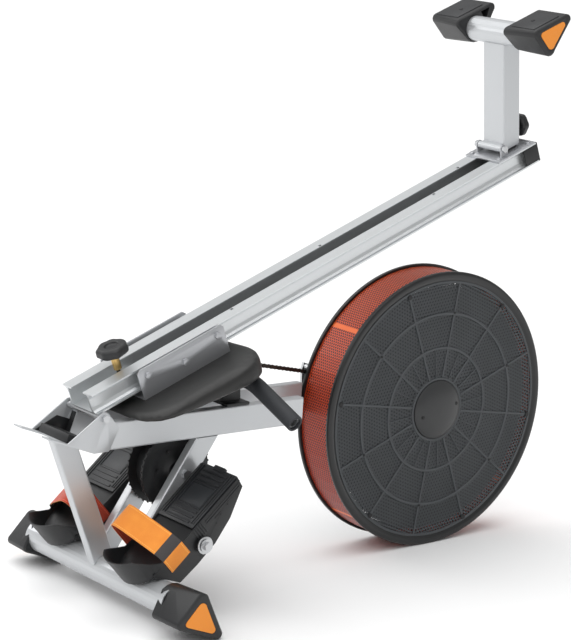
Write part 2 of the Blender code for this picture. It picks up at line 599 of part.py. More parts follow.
def rear_leg(leg, silver, black, amber):
    """Folding rear leg: post with its hinge barrel, cross tube and two end caps. Origin on the pivot."""
    tube = (1.126 - LEG_PIVOT[0], REAR_PAD_P - REAR_DROP - LEG_PIVOT[1])
    face_start = (1.0500 - LEG_PIVOT[0], 0.0555 - LEG_PIVOT[1])
    depth = 0.044
    normal = (sin(LEG_LEAN), -cos(LEG_LEAN))
    foot = (face_start[0] + normal[0] * depth / 2 - 0.02 * cos(LEG_LEAN),
            face_start[1] + normal[1] * depth / 2 - 0.02 * sin(LEG_LEAN))
    top = (foot[0] + 0.260 * cos(LEG_LEAN), foot[1] + 0.260 * sin(LEG_LEAN))
    post = rect_tube("rear_post", foot, top, depth, 0.060, 0.0, leg, silver)
    floor = box("rear_post_foot_cut", (-0.05, -0.04, -0.05), (0.12, 0.04, -0.0085), leg)
    boolean(post, floor, "DIFFERENCE")
    saddle = pin("rear_post_saddle_cut", tube, REAR_TUBE_RADIUS + GAP, -0.04, 0.04, leg, 28)
    boolean(post, saddle, "DIFFERENCE")
    barrel = pin("rear_post_barrel", (0, 0), 0.0072, -0.0325, 0.0325, leg, 24)
    web = box("rear_post_barrel_web", (0.000, -0.027, -0.0035), (0.012, 0.027, 0.0070), leg)
    boolean(post, barrel, "UNION")
    boolean(post, web, "UNION")
    boolean(post, pin("rear_post_bore", (0, 0), 0.0043, -0.06, 0.06, leg, 20), "DIFFERENCE")
    foot_tube("rear_foot_tube", tube, REAR_TUBE_RADIUS, REAR_HALF + TUBE_ENTRY, leg, silver)
    for side in ("near", "far"):
        end_cap(side, "rear", tube, REAR_TUBE_RADIUS, REAR_HALF, REAR_CAP_LENGTH, REAR_CAP_SHAPE, leg, -1,
                black, amber)


# ---------------------------------------------------------------- seat

def carriage(body, steel, black, charcoal):
    """Seat carriage: U-bracket with six roller studs, and the seat pad. Origin at the carriage's middle."""
    middle = sum(CARRIAGE_S) / 2
    half = (CARRIAGE_S[1] - CARRIAGE_S[0]) / 2
    low_p, high_p = CARRIAGE_P
    outer = CARRIAGE_PLATE_Y + PLATE
    bracket = box("carriage_bracket", (-half, -outer, low_p), (half, outer, low_p + PLATE), body, steel)
    slant = 0.006
    cheek = [(-half, low_p + 0.0005), (half, low_p + 0.0005), (half, high_p - 0.006), (half - slant, high_p),
             (-half + slant, high_p), (-half, high_p - 0.006)]
    for side, low in (("near", -outer), ("far", CARRIAGE_PLATE_Y)):
        boolean(bracket, prism(f"carriage_{side}_cheek", cheek, low, low + PLATE, body), "UNION")
    for index, s in enumerate(ROLLER_S):
        place = (s - middle, ROLLER_P[index])
        for side, outward in (("near", -1), ("far", 1)):
            label = f"carriage_{side}"
            stud = pin(f"{label}_stud_{index}", place, 0.004, outward * 0.0425, outward * 0.0600, body, 16)
            head = pin(f"{label}_nut_{index}", place, 0.0075, outward * 0.0600, outward * 0.0665, body, 6)
            boolean(bracket, stud, "UNION")
            boolean(bracket, head, "UNION")
    seat_pad(body, middle, low_p, charcoal)


def seat_pad(body, middle, low_p, charcoal):
    """Wedge-shaped moulded seat, thicker towards the rail's rear end, round in plan."""
    half_s = 0.1475
    half_y = 0.150
    centre_s = 0.1825 - middle
    plan = rounded_box(half_s, half_y, 0.075, 6)

    def ring(scale, depth_of):
        points = []
        for a, b in plan:
            s = centre_s + a * scale
            points.append((s, b * scale, depth_of(s + middle)))
        return points

    def top(s):
        return -0.0215 - 0.125 * (s - 0.04)

    loops = [ring(0.90, lambda s: low_p - GAP), ring(0.97, lambda s: low_p - GAP - 0.003),
             ring(1.0, lambda s: low_p - GAP - 0.008), ring(1.0, lambda s: top(s) + 0.004),
             ring(0.965, top), ring(0.80, lambda s: top(s) + 0.002), ring(0.45, lambda s: top(s) + 0.0035)]
    add_object("seat_pad", loops, body, charcoal)


def roller(name, hub, side, charcoal):
    outward = -1 if side == "near" else 1
    profile = [(0.0043, 0.0425), (ROLLER_RADIUS - 0.001, 0.0425), (ROLLER_RADIUS, 0.0435),
               (ROLLER_RADIUS, 0.0540), (ROLLER_RADIUS - 0.001, 0.0550), (0.0043, 0.0550)]
    lathe(name, [(r, outward * y) for r, y in profile], 24, hub, charcoal, True)


# ---------------------------------------------------------------- handle

def handle_parts(body, steel, foam):
    """Pull handle: straight middle, ends bent down and forward. Origin on the bar's own axis."""
    straight = 0.068
    knee = 0.112
    slope = (0.209, -0.379)
    reach = 0.212
    count = 4
    arm = [(0.0, straight, 0.0)]
    for i in range(1, count + 1):
        share = i / count
        drop = 0.5 * (knee - straight) * share ** 2
        arm.append((slope[0] * drop, straight + (knee - straight) * share, slope[1] * drop))
    rise = reach - knee
    tip = Vector(arm[-1]) + Vector((slope[0] * rise, rise, slope[1] * rise))
    arm.append(tuple(tip))
    inset = Vector(arm[-1]) - (Vector(arm[-1]) - Vector(arm[-2])) * 0.05
    bar = arm[:-1] + [tuple(inset)]
    bar_path = [(x, -y, z) for x, y, z in bar[::-1]] + bar
    sweep("handle_bar", bar_path, HANDLE_RADIUS, 0.0090, 16, body, steel)
    start = (0.0, 0.042, 0.0)
    grip = [start] + arm
    for side, sign in (("near", -1), ("far", 1)):
        sweep(f"{side}_grip", [(x, sign * y, z) for x, y, z in grip], GRIP_RADIUS, HANDLE_RADIUS + 0.0006,
              16, body, foam)


# ---------------------------------------------------------------- pedals

def pedal(side, body, plate_slide, black, charcoal, amber):
    """Pivoting foot rest: shell with flanges and heel cup, sliding ribbed plate and foot strap."""
    outward = -1 if side == "near" else 1
    inner_y, outer_y = PEDAL_Y
    wall = 0.003

    def across(y):
        return outward * y

    flange = [(0.130, SOLE_N + 0.004), (0.127, 0.018), (0.072, -0.008), (0.020, -0.020), (-0.032, -0.021),
              (-0.078, -0.018), (-0.094, 0.010), (-0.108, SOLE_N - 0.004), (-0.108, SOLE_N + 0.004)]
    low, high = sorted((across(inner_y), across(outer_y)))
    shell = box(f"{side}_pedal", (-0.110, low + 0.001, SOLE_N - 0.004), (0.130, high - 0.001, SOLE_N),
                body, black)
    for label, y in (("inner", inner_y), ("outer", outer_y - wall)):
        y_low, y_high = sorted((across(y), across(y + wall)))
        boolean(shell, prism(f"{side}_pedal_{label}_flange", flange, y_low, y_high, body), "UNION")

    middle_y = across((inner_y + outer_y) / 2)
    half_y = (outer_y - inner_y) / 2

    def plan(offset, n):
        reach = half_y - offset
        back = [(-0.087 + reach * 0.92 * cos(radians(a)), middle_y + reach * sin(radians(a)), n)
                for a in range(90, 271, 12)]
        return back + [(-0.020, middle_y - reach, n), (-0.020, middle_y + reach, n)]

    cup = add_object(f"{side}_pedal_cup", [plan(0.0, SOLE_N - 0.004), plan(0.0, 0.105)], body)
    well = add_object(f"{side}_pedal_cup_well", [plan(wall, SOLE_N), plan(wall, 0.12)], body)
    boolean(cup, well, "DIFFERENCE")
    rim = [(-0.160, 0.096), (-0.120, 0.084), (-0.098, 0.058), (-0.083, 0.044), (-0.045, 0.039), (0.0, 0.0385),
           (0.0, 0.15), (-0.160, 0.15)]
    boolean(cup, prism(f"{side}_pedal_rim_cut", rim, low - 0.01, high + 0.01, body), "DIFFERENCE")
    boolean(shell, cup, "UNION")
    boolean(shell, pin(f"{side}_pedal_bore_boss", (0, 0), 0.012, low, high, body, 24), "UNION")
    boolean(shell, pin(f"{side}_pedal_bore", (0, 0), 0.0053, low - 0.01, high + 0.01, body, 20), "DIFFERENCE")

    plate_low = low + wall + 0.0015
    plate_high = high - wall - 0.0015
    plate = box(f"{side}_footplate", (0.004, plate_low, SOLE_N + GAP), (0.132, plate_high, SOLE_N + 0.006),
                plate_slide, charcoal)
    for index in range(7):
        t = 0.016 + 0.017 * index
        if 0.048 < t < 0.095:
            continue
        rib = box(f"{side}_footplate_rib_{index}", (t, plate_low + 0.012, SOLE_N + 0.005),
                  (t + 0.007, plate_high - 0.012, SOLE_N + 0.008), plate_slide)
        boolean(plate, rib, "UNION")

    width = outer_y - inner_y
    over = [(-0.0025, 0.012), (-0.0025, 0.046), (0.020, 0.064), (0.080, 0.098), (0.100, 0.106),
            (width - 0.002, 0.103), (width + 0.0025, 0.090), (width + 0.0025, 0.012)]
    under = [(-0.0005, 0.012), (-0.0005, 0.045), (0.021, 0.0622), (0.081, 0.0960), (0.101, 0.1038),
             (width - 0.004, 0.101), (width + 0.0005, 0.089), (width + 0.0005, 0.012)]
    loops = []
    for t in (-0.078, -0.028):
        loops.append([(t, outward * (outer_y - a), n) for a, n in over + under[::-1]])
    add_object(f"{side}_strap", loops, body, amber)


# ---------------------------------------------------------------- assembly

def build():
    clear_scene()
    silver = material("silver_paint", (0.62, 0.64, 0.66), 0.35, 0.6)
    aluminium = material("anodised_aluminium", (0.72, 0.74, 0.75), 0.38, 0.9)
    steel = material("zinc_steel", (0.60, 0.61, 0.62), 0.35, 1.0)
    black = material("black_plastic", (0.025, 0.026, 0.028), 0.45)
    charcoal = material("charcoal_plastic", (0.05, 0.052, 0.055), 0.5)
    foam = material("black_foam", (0.03, 0.031, 0.034), 0.8)
    cushion = material("seat_moulding", (0.035, 0.035, 0.036), 0.6)
    mesh_orange = material("orange_mesh", (0.80, 0.16, 0.03), 0.4, 0.2)
    amber = material("amber_insert", (0.90, 0.38, 0.03), 0.45)
    webbing = material("orange_webbing", (0.88, 0.33, 0.03), 0.85)
    chain_steel = material("dark_chain", (0.08, 0.075, 0.07), 0.4, 0.8)

    machine = pivot("machine", (CENTRE_X, FAN_RADIUS), -tip_forward(), None)
    base_frame(machine, silver, black)
    for side in ("near", "far"):
        end_cap(side, "base", BASE_TUBE, BASE_TUBE_RADIUS, BASE_HALF, BASE_CAP_LENGTH, BASE_CAP_SHAPE,
                machine, 1, black, amber)
    fold_bracket(machine, silver)
    handle_cradle(machine, black)
    fan_arm(machine, steel)
    cage(machine, charcoal, black, mesh_orange)
    drive_chain(machine, chain_steel)
    axles(machine, steel)
    fan(pivot("fan_hub", (0, 0), 0.0, machine), pivot("sprocket_hub", (0, 0), 0.0, machine), black, steel)
    recoil_reel(pivot("reel_hub", REEL, 0.0, machine), black)

    rail = pivot("rail_pivot", HINGE, FOLDED_ANGLE, machine)
    rail_parts(rail, aluminium, black, steel)
    knob_s = 0.087

    def on_rail(a, b, along):
        return (knob_s + a, b, 0.073 + along)

    lobed_knob("rail_lock_knob", 0.030, 0.020, 7, 0.004, 0.045, 0.004, rail, black, on_rail)
    rear_leg(pivot("leg_pivot", LEG_PIVOT, 0.0, rail), silver, black, amber)

    def on_tab(a, b, along):
        out = PLATE + 0.0126 + along
        up = LEG_KNOB_RISE + b
        foot_s, foot_p = tab_foot()
        s = foot_s + up * cos(LEG_LEAN) + out * sin(LEG_LEAN)
        p = foot_p + up * sin(LEG_LEAN) - out * cos(LEG_LEAN)
        return (s, a, p)

    lobed_knob("leg_lock_knob", 0.023, 0.019, 6, 0.004, 0.0156, 0.0120, rail, black, on_tab)

    middle = sum(CARRIAGE_S) / 2
    seat = pivot("seat_slide", (middle, 0), 0.0, rail)
    carriage(seat, steel, black, cushion)
    for index, s in enumerate(ROLLER_S):
        for side in ("near", "far"):
            hub = pivot(f"{side}_roller_{index + 1}_hub", (s - middle, ROLLER_P[index]), 0.0, seat)
            roller(f"{side}_roller_{index + 1}", hub, side, charcoal)

    handle_parts(pivot("handle_pivot", HANDLE, 0.0, machine), steel, foam)
    for side in ("near", "far"):
        pedal_pivot = pivot(f"{side}_pedal_pivot", PEDAL_AXLE, PEDAL_ANGLE, machine)
        plate_slide = pivot(f"{side}_footplate_slide", (0, 0), 0.0, pedal_pivot)
        pedal(side, pedal_pivot, plate_slide, black, charcoal, webbing)


build()
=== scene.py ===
"""Looks of the folded air rowing machine: finishes, pierced cage, seat, straps, chain, light and camera."""

from math import asin, atan2, cos, hypot, pi, radians, sin, tan

import bmesh
import bpy
from mathutils import Matrix, Vector


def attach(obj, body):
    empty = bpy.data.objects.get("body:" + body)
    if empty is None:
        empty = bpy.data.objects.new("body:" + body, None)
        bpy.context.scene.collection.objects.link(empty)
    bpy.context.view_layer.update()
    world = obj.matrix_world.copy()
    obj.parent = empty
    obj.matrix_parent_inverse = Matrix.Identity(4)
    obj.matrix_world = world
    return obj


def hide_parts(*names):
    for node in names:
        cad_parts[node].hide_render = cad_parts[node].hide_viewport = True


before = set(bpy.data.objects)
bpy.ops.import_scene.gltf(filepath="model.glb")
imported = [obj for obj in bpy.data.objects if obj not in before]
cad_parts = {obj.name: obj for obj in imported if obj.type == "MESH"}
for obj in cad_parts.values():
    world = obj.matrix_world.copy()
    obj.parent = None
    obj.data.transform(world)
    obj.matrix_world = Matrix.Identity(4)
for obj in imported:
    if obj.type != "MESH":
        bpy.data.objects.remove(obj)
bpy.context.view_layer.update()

# Places shared with the part's own design, in metres; u runs towards the fan and v up in the rowing attitude.
FAN_RADIUS = 0.280
CENTRE_X = 0.3235
BASE_TUBE = (-0.631, -0.477)
CAP_REACH = 0.081
CAP_CORNER = 0.010
PAD_DROP = 0.038
HINGE = (-0.788, -0.2101)
FOLDED = radians(41.8)
PEDAL_AXLE = (-0.580, -0.368)
PEDAL_ANGLE = radians(62.0)
REEL = (-0.567, -0.265)
REEL_RADIUS = 0.0755
REEL_CORE = 0.058
HANDLE = (-0.5141, -0.0635)
SPROCKET_RADIUS = 0.0285
SPROCKET_Y = 0.0545
CHAIN_BEND = (-0.4985, -0.0385)
LOWER_GUIDE = (-0.259, -0.0984)
UPPER_GUIDE = (-0.2724, -0.0043)
GUIDE_REACH = 0.0092
CHAIN_PITCH = 0.0127
SOLE_N = 0.034
PEDAL_Y = (0.070, 0.185)
BASE_HALF = 0.211
FACE_PHASE = 11.8
BAND_STRIPS = (160.5, 70.5, -20.0, -111.5)
LEG_TUBE = (1.126, 0.280)
LEG_PAD_P = 0.313

corner = (BASE_TUBE[0] + CAP_REACH - CAP_CORNER, BASE_TUBE[1] - PAD_DROP + CAP_CORNER)
TIP = atan2(-corner[1], -corner[0]) - asin((FAN_RADIUS - CAP_CORNER) / hypot(*corner))
MACHINE = Matrix.Translation((CENTRE_X, 0, FAN_RADIUS)) @ Matrix.Rotation(TIP, 4, "Y")
RAIL = MACHINE @ Matrix.Translation((HINGE[0], 0, HINGE[1])) @ Matrix.Rotation(-FOLDED, 4, "Y")
PEDAL = MACHINE @ Matrix.Translation((PEDAL_AXLE[0], 0, PEDAL_AXLE[1])) @ Matrix.Rotation(-PEDAL_ANGLE, 4, "Y")
REEL_PLACE = MACHINE @ Matrix.Translation((REEL[0], 0, REEL[1]))
HANDLE_PLACE = MACHINE @ Matrix.Translation((HANDLE[0], 0, HANDLE[1]))


# ---------------------------------------------------------------- shader maths

class Signal:
    """A shader socket that takes part in Python arithmetic."""

    def __init__(self, tree, socket):
        self.tree = tree
        self.socket = socket

    def maths(self, operation, other=None, third=None):
        node = self.tree.nodes.new("ShaderNodeMath")
        node.operation = operation
        for index, value in enumerate((self, other, third)):
            if isinstance(value, Signal):
                self.tree.links.new(value.socket, node.inputs[index])
            elif value is not None:
                node.inputs[index].default_value = value
        return Signal(self.tree, node.outputs[0])

    def flipped(self, operation, value):
        node = self.tree.nodes.new("ShaderNodeMath")
        node.operation = operation
        node.inputs[0].default_value = value
        self.tree.links.new(self.socket, node.inputs[1])
        return Signal(self.tree, node.outputs[0])

    def __add__(self, other):
        return self.maths("ADD", other)

    def __radd__(self, value):
        return self.flipped("ADD", value)

    def __sub__(self, other):
        return self.maths("SUBTRACT", other)

    def __rsub__(self, value):
        return self.flipped("SUBTRACT", value)

    def __mul__(self, other):
        return self.maths("MULTIPLY", other)

    def __rmul__(self, value):
        return self.flipped("MULTIPLY", value)

    def __truediv__(self, other):
        return self.maths("DIVIDE", other)

    def __rtruediv__(self, value):
        return self.flipped("DIVIDE", value)

    def __lt__(self, other):
        return self.maths("LESS_THAN", other)

    def __gt__(self, other):
        return self.maths("GREATER_THAN", other)


class Finish:
    """A Principled material with helpers for its pattern."""

    def __init__(self, name, colour, roughness, metallic=0.0, coat=0.0, specular=0.5):
        self.material = bpy.data.materials.new(name)
        self.material.use_nodes = True
        self.tree = self.material.node_tree
        self.shader = self.tree.nodes["Principled BSDF"]
        self.colour = colour
        self.shader.inputs["Base Color"].default_value = (*colour, 1)
        self.shader.inputs["Roughness"].default_value = roughness
        self.shader.inputs["Metallic"].default_value = metallic
        self.shader.inputs["Coat Weight"].default_value = coat
        self.shader.inputs["Specular IOR Level"].default_value = specular

    def node(self, kind, settings=None, inputs=None, output=0):
        made = self.tree.nodes.new(kind)
        for key, value in (settings or {}).items():
            setattr(made, key, value)
        for key, value in (inputs or {}).items():
            if isinstance(value, Signal):
                self.tree.links.new(value.socket, made.inputs[key])
            else:
                made.inputs[key].default_value = value
        return Signal(self.tree, made.outputs[output])

    def place(self, matrix=None, scale=(1, 1, 1)):
        """Object coordinates, turned into a piece's own frame."""
        here = self.node("ShaderNodeTexCoord", output="Object")
        if matrix is None and scale == (1, 1, 1):
            return here
        inverse = (matrix or Matrix()).inverted()
        turned = self.node("ShaderNodeMapping", {}, {
            "Vector": here, "Location": inverse.translation, "Rotation": inverse.to_euler()})
        if scale == (1, 1, 1):
            return turned
        return self.node("ShaderNodeVectorMath", {"operation": "MULTIPLY"}, {0: turned, 1: scale})

    def axes(self, vector):
        parts = self.tree.nodes.new("ShaderNodeSeparateXYZ")
        self.tree.links.new(vector.socket, parts.inputs[0])
        return [Signal(self.tree, parts.outputs[index]) for index in range(3)]

    def noise(self, vector, scale, detail=3.0, roughness=0.5):
        return self.node("ShaderNodeTexNoise", {}, {
            "Vector": vector, "Scale": scale, "Detail": detail, "Roughness": roughness})

    def ramp(self, value, low, high, out_low, out_high):
        return self.node("ShaderNodeMapRange", {"clamp": True}, {
            "Value": value, "From Min": low, "From Max": high, "To Min": out_low, "To Max": out_high})

    def mix(self, factor, first, second):
        made = self.tree.nodes.new("ShaderNodeMix")
        made.data_type = "RGBA"
        for index, value in ((0, factor), (6, first), (7, second)):
            if isinstance(value, Signal):
                self.tree.links.new(value.socket, made.inputs[index])
            elif index == 0:
                made.inputs[index].default_value = value
            else:
                made.inputs[index].default_value = (*value, 1)
        return Signal(self.tree, made.outputs[2])

    def feed(self, **links):
        for name, value in links.items():
            self.tree.links.new(value.socket, self.shader.inputs[name.replace("_", " ")])
        return self

    def bump(self, height, strength, distance):
        normal = self.node("ShaderNodeBump", {}, {"Height": height, "Strength": strength, "Distance": distance})
        self.feed(Normal=normal)
        return self


def speckled(name, colour, roughness, metallic, grain, strength, distance, vary=0.12, coat=0.0, specular=0.5):
    """Finish with fine grain bump and a little cloudiness in colour and gloss."""
    made = Finish(name, colour, roughness, metallic, coat, specular)
    here = made.place()
    cloud = made.noise(here, 9.0, 4.0)
    light = tuple(min(1.0, c * (1 + vary)) for c in colour)
    dark = tuple(c * (1 - vary) for c in colour)
    made.feed(Base_Color=made.mix(cloud, dark, light))
    fine = made.noise(here, grain, 2.0)
    made.feed(Roughness=made.ramp(cloud + fine * 0.3, 0.3, 0.9, roughness * 0.88, min(1.0, roughness * 1.14)))
    made.bump(fine, strength, distance)
    return made


def brushed(name, colour, roughness, metallic, matrix, strength=0.25):
    """Drawn metal, with hair-fine lines along the piece's own X."""
    made = Finish(name, colour, roughness, metallic)
    lines = made.noise(made.place(matrix, (1.2, 300.0, 300.0)), 3.0, 3.0, 0.6)
    cloud = made.noise(made.place(matrix, (1.0, 8.0, 8.0)), 3.0, 3.0)
    light = tuple(min(1.0, c * 1.05) for c in colour)
    dark = tuple(c * 0.93 for c in colour)
    made.feed(Base_Color=made.mix(lines * 0.6 + cloud * 0.4, dark, light))
    made.feed(Roughness=made.ramp(lines, 0.2, 0.8, roughness * 0.85, roughness * 1.2))
    made.bump(lines, strength, 0.0002)
    return made


def pierced(made, across, along, pitch, radius):
    """1 on the metal and 0 in the holes of a staggered grid."""
    tall = pitch * 3 ** 0.5
    nearest = None
    for shift in (0.0, 0.5):
        a = ((across / pitch + shift).maths("FRACT") - 0.5) * pitch
        b = ((along / tall + shift).maths("FRACT") - 0.5) * tall
        squared = a * a + b * b
        nearest = squared if nearest is None else nearest.maths("MINIMUM", squared)
    return nearest > radius * radius


def cage_face_finish():
    made = Finish("cage_pierced_plastic", (0.050, 0.052, 0.056), 0.5)
    x, _, z = made.axes(made.place(MACHINE))
    reach = (x * x + z * z).maths("SQRT")
    angle = z.maths("ARCTAN2", x) - radians(FACE_PHASE + 15)
    step = pi / 6
    turn = angle - ((angle / step + 0.5).maths("FLOOR") * step)
    metal = pierced(made, reach * turn.maths("SINE"), reach * turn.maths("COSINE"), 0.0074, 0.0027)
    made.feed(Alpha=metal)
    cloud = made.noise(made.place(), 14.0, 3.0)
    made.feed(Base_Color=made.mix(cloud, (0.042, 0.046, 0.050), (0.062, 0.068, 0.074)))
    return made


def band_finish():
    made = Finish("cage_band_orange", (0.62, 0.05, 0.008), 0.40, 0.15)
    x, y, z = made.axes(made.place(MACHINE))
    angle = z.maths("ARCTAN2", x)
    metal = pierced(made, y, angle * 0.2755, 0.0060, 0.0022)
    edge = y.maths("ABSOLUTE") > 0.0372
    strip = None
    for centre in BAND_STRIPS:
        near = ((angle - radians(centre)).maths("ABSOLUTE")) < 0.017
        strip = near if strip is None else strip.maths("MAXIMUM", near)
    metal = metal.maths("MAXIMUM", edge).maths("MAXIMUM", strip)
    # Lighter orange towards the top of the band: painted highlight from the overhead light
    painted_top_highlight = made.ramp(z, -0.20, 0.28, 0.0, 1.0)
    tint = made.mix(painted_top_highlight, (0.52, 0.035, 0.006), (0.74, 0.10, 0.022))
    tint = made.mix(strip, tint, (0.86, 0.16, 0.030))
    # The holes are painted near-black red, not cut: painted shade of the cage's inside seen through them
    made.feed(Base_Color=made.mix(metal, (0.055, 0.006, 0.003), tint))
    made.bump(metal, 0.6, 0.0006)
    return made


def webbing_finish(name, colour, dark, patch=None):
    """Woven tape on its own UVs in metres: u along the tape, v across it."""
    made = Finish(name, colour, 0.82)
    made.shader.inputs["Sheen Weight"].default_value = 0.25
    uv = made.node("ShaderNodeUVMap", {"uv_map": "tape"})
    u, v, _ = made.axes(uv)
    warp = (v * (2 * pi / 0.0016)).maths("SINE")
    weft = (u * (2 * pi / 0.0013)).maths("SINE")
    weave = warp * weft
    stitch_line = ((v - 0.0215).maths("ABSOLUTE") < 0.0007).maths(
        "MAXIMUM", (v + 0.0215).maths("ABSOLUTE") < 0.0007)
    stitch = stitch_line * ((u / 0.004).maths("FRACT") > 0.35)
    cloud = made.noise(made.place(), 40.0, 3.0)
    base = made.mix(made.ramp(weave * 0.5 + cloud, 0.0, 1.2, 0.0, 1.0), dark, colour)
    base = made.mix(stitch, base, tuple(min(1.0, c * 1.25 + 0.04) for c in colour))
    if patch:
        start, end, tint = patch
        inside = (u > start) * (u < end)
        base = made.mix(inside, base, tint)
    made.feed(Base_Color=base)
    made.bump(weave * 0.5 + stitch, 0.5, 0.0003)
    return made


silver = speckled("silver_paint", (0.56, 0.575, 0.59), 0.34, 0.55, 900.0, 0.06, 0.0002, 0.03)
rail_metal = brushed("drawn_aluminium", (0.70, 0.72, 0.73), 0.33, 0.72, RAIL)
steel = speckled("zinc_steel", (0.56, 0.57, 0.58), 0.32, 0.9, 500.0, 0.08, 0.0002, 0.06)
plate_steel = brushed("plate_steel", (0.50, 0.51, 0.53), 0.34, 0.75, RAIL, 0.15)
black = speckled("black_moulding", (0.011, 0.0115, 0.0125), 0.42, 0.0, 1500.0, 0.18, 0.0003, 0.2)
ring_black = speckled("ring_black", (0.009, 0.0095, 0.010), 0.34, 0.0, 1500.0, 0.08, 0.0002, 0.15)
hub_grey = speckled("hub_moulding", (0.026, 0.027, 0.028), 0.36, 0.0, 1600.0, 0.14, 0.0003, 0.10)
rib_grey = speckled("cage_rib_plastic", (0.052, 0.057, 0.062), 0.5, 0.0, 1500.0, 0.12, 0.0003, 0.10)
plate_black = speckled("ribbed_plate", (0.016, 0.017, 0.019), 0.44, 0.0, 1400.0, 0.2, 0.0003, 0.15)
panel_grey = speckled("plate_panel", (0.022, 0.024, 0.027), 0.42, 0.0, 700.0, 0.3, 0.0004, 0.15)
foam = speckled("grip_foam", (0.022, 0.024, 0.028), 0.62, 0.0, 2200.0, 0.5, 0.0005, 0.15)
seat_skin = speckled("seat_skin", (0.013, 0.013, 0.0125), 0.48, 0.0, 1300.0, 0.22, 0.0003, 0.15)
amber = speckled("amber_insert", (0.86, 0.27, 0.008), 0.40, 0.0, 800.0, 0.05, 0.0002, 0.05, 0.2)
wheel_tyre = speckled("wheel_tyre", (0.045, 0.046, 0.050), 0.55, 0.0, 900.0, 0.1, 0.0002)
brass = speckled("brass_stem", (0.62, 0.42, 0.16), 0.32, 0.9, 500.0, 0.06, 0.0002, 0.08)
chain_steel = speckled("oiled_chain", (0.050, 0.045, 0.040), 0.36, 0.8, 600.0, 0.1, 0.0002, 0.25)
# Near-black finish for screw heads; on slot marks and the rail groove floor it is painted shade of those openings
black_and_painted_shade = speckled("black_and_painted_shade", (0.010, 0.010, 0.011), 0.6, 0.0, 900.0, 0.1, 0.0002)
cage_face = cage_face_finish()
band = band_finish()
tape_top = webbing_finish("orange_tape", (0.95, 0.36, 0.045), (0.78, 0.22, 0.02), (0.030, 0.052, (0.05, 0.045, 0.045)))
tape_under = webbing_finish("red_tape", (0.60, 0.06, 0.012), (0.40, 0.03, 0.008))


# ---------------------------------------------------------------- making pieces

def deselect():
    if bpy.context.object and bpy.context.object.mode != "OBJECT":
        bpy.ops.object.mode_set(mode="OBJECT")
    bpy.ops.object.select_all(action="DESELECT")


def activate(obj):
    deselect()
    obj.select_set(True)
    bpy.context.view_layer.objects.active = obj


def apply_all(obj):
    activate(obj)
    for modifier in list(obj.modifiers):
        bpy.ops.object.modifier_apply(modifier=modifier.name)


def soften(obj, width, segments=2, angle=35):
    """Round the sharp edges and shade the rest smooth."""
    if width:
        modifier = obj.modifiers.new("edges", "BEVEL")
        modifier.width = width
        modifier.segments = segments
        modifier.limit_method = "ANGLE"
        modifier.angle_limit = radians(angle)
        modifier.harden_normals = False
        apply_all(obj)
    activate(obj)
    bpy.ops.object.shade_smooth_by_angle(angle=radians(angle))
    return obj


def new_mesh(name, points, faces, edges=()):
    mesh = bpy.data.meshes.new(name)
    mesh.from_pydata([tuple(p) for p in points], list(edges), list(faces))
    obj = bpy.data.objects.new(name, mesh)
    bpy.context.collection.objects.link(obj)
    return obj


def outward(obj):
    activate(obj)
    bpy.ops.object.mode_set(mode="EDIT")
    bpy.ops.mesh.select_all(action="SELECT")
    bpy.ops.mesh.remove_doubles(threshold=0.00001)
    bpy.ops.mesh.normals_make_consistent(inside=False)
    bpy.ops.object.mode_set(mode="OBJECT")
    return obj


def block(low, high, width=0.0008, segments=2):
    """Rounded block between two corners."""
    deselect()
    middle = [(a + b) / 2 for a, b in zip(low, high)]
    size = [abs(b - a) for a, b in zip(low, high)]
    bpy.ops.mesh.primitive_cube_add(size=1, location=middle, scale=size)
    obj = bpy.context.object
    bpy.ops.object.transform_apply(location=True, rotation=True, scale=True)
    return soften(obj, width, segments)


def disc(radius, y_low, y_high, place=(0, 0), sides=32, width=0.0006):
    """Rounded short cylinder across the machine."""
    deselect()
    bpy.ops.mesh.primitive_cylinder_add(vertices=sides, radius=radius, depth=abs(y_high - y_low),
                                        location=(place[0], (y_low + y_high) / 2, place[1]),
                                        rotation=(pi / 2, 0, 0))
    obj = bpy.context.object
    bpy.ops.object.transform_apply(location=True, rotation=True, scale=True)
    return soften(obj, width, 2, 40)


def turned(profile, steps=96, place=(0, 0), closed=True):
    """Turn (radius, y) points about the Y axis."""
    count = len(profile)
    edges = [(i, (i + 1) % count) for i in range(count if closed else count - 1)]
    obj = new_mesh("turned", [(r, y, 0) for r, y in profile], (), edges)
    screw = obj.modifiers.new("turn", "SCREW")
    screw.axis = "Y"
    screw.steps = steps
    screw.render_steps = steps
    screw.use_merge_vertices = True
    screw.merge_threshold = 0.00001
    apply_all(obj)
    outward(obj)
    obj.data.transform(Matrix.Translation((place[0], 0, place[1])))
    activate(obj)
    bpy.ops.object.shade_smooth_by_angle(angle=radians(38))
    return obj


def slab(outline, y_low, y_high, width=0.0008):
    """Side-plane outline extruded across the machine."""
    count = len(outline)
    points = [(a, y_low, b) for a, b in outline] + [(a, y_high, b) for a, b in outline]
    faces = [tuple(range(count)), tuple(range(count, 2 * count))]
    faces += [(i, (i + 1) % count, count + (i + 1) % count, count + i) for i in range(count)]
    return soften(outward(new_mesh("slab", points, faces)), width)


def merged(name, objects):
    activate(objects[0])
    for obj in objects[1:]:
        obj.select_set(True)
    if len(objects) > 1:
        bpy.ops.object.join()
    made = bpy.context.object
    made.name = name
    made.data.name = name
    return made


def placed(name, obj, finish, body, matrix=None, replaces=()):
    obj.name = name
    obj.data.name = name
    if matrix is not None:
        obj.data.transform(matrix)
    if finish is not None:
        obj.data.materials.clear()
        obj.data.materials.append(finish.material)
    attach(obj, body)
    if replaces:
        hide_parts(*replaces)
    return obj


def moved(obj, matrix):
    obj.data.transform(matrix)
    return obj


